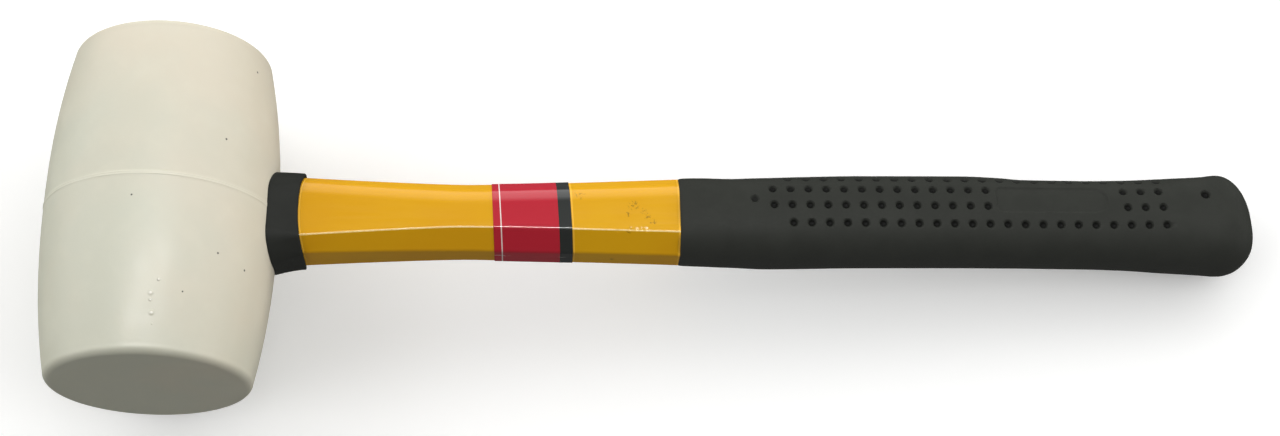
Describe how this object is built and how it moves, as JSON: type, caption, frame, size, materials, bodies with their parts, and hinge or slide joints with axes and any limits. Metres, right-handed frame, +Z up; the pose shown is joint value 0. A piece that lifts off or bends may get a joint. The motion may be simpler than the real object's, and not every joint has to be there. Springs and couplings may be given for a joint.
{
  "type": "rubber mallet",
  "caption": "Soft-face mallet: barrel-shaped white rubber head on a faceted plastic-jacketed handle with a black rubber collar and a dimpled rubber grip.",
  "frame": {"origin": "centre of the lying mallet's bounding box, at floor level", "axes": "+X along the handle towards the butt, +Y along the head from one striking face to the other, +Z up from the floor; the mallet lies on the belly of the head and on the butt of the grip, so the handle drops towards the butt"},
  "size_m": [0.3438, 0.0984, 0.0647],
  "materials": {
    "head_rubber": "matte, off-white, moulded",
    "bond": "cured adhesive, dull",
    "fibreglass": "pultruded glass fibre rod, satin",
    "jacket_plastic": "injection-moulded, satin yellow",
    "black_rubber": "matte black, soft edges",
    "label_film": "glossy printed film, red field with a black band, left without lettering",
    "grip_rubber": "matte black, dimpled"
  },
  "bodies": {
    "root": {"head": "head_rubber", "eye_bond": "bond", "core_rod": "fibreglass", "jacket": "jacket_plastic", "collar": "black_rubber", "label": "label_film", "grip": "grip_rubber"}
  },
  "joints": []
}
